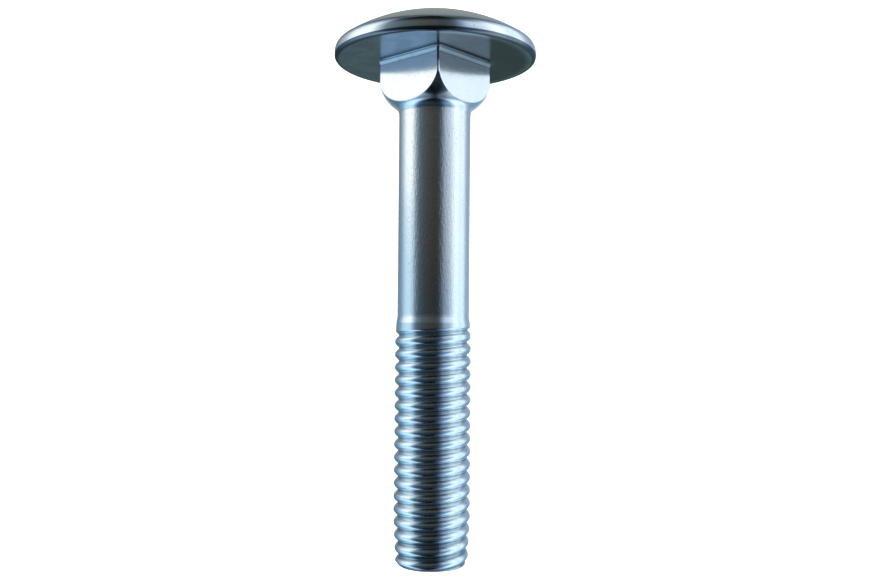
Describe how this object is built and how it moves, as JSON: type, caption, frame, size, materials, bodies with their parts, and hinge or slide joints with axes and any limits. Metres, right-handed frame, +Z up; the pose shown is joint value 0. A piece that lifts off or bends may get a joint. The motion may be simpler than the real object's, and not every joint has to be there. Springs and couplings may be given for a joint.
{
  "type": "carriage bolt",
  "caption": "Carriage bolt with a low domed head, a square neck that keeps it from turning, a plain shank and a right-hand thread.",
  "frame": {"origin": "on the floor, under the middle of the box around the bolt as it lies on its head's rim and its thread's end", "axes": "+Y along the bolt towards its head, +Z up; the bolt's own axis rises 7.3 degrees towards the head"},
  "size_m": [0.016, 0.0432, 0.0159],
  "materials": {
    "zinc_plate": "bright bluish zinc plate on cold-formed steel"
  },
  "bodies": {
    "root": {"carriage_bolt": "zinc_plate"}
  },
  "joints": []
}
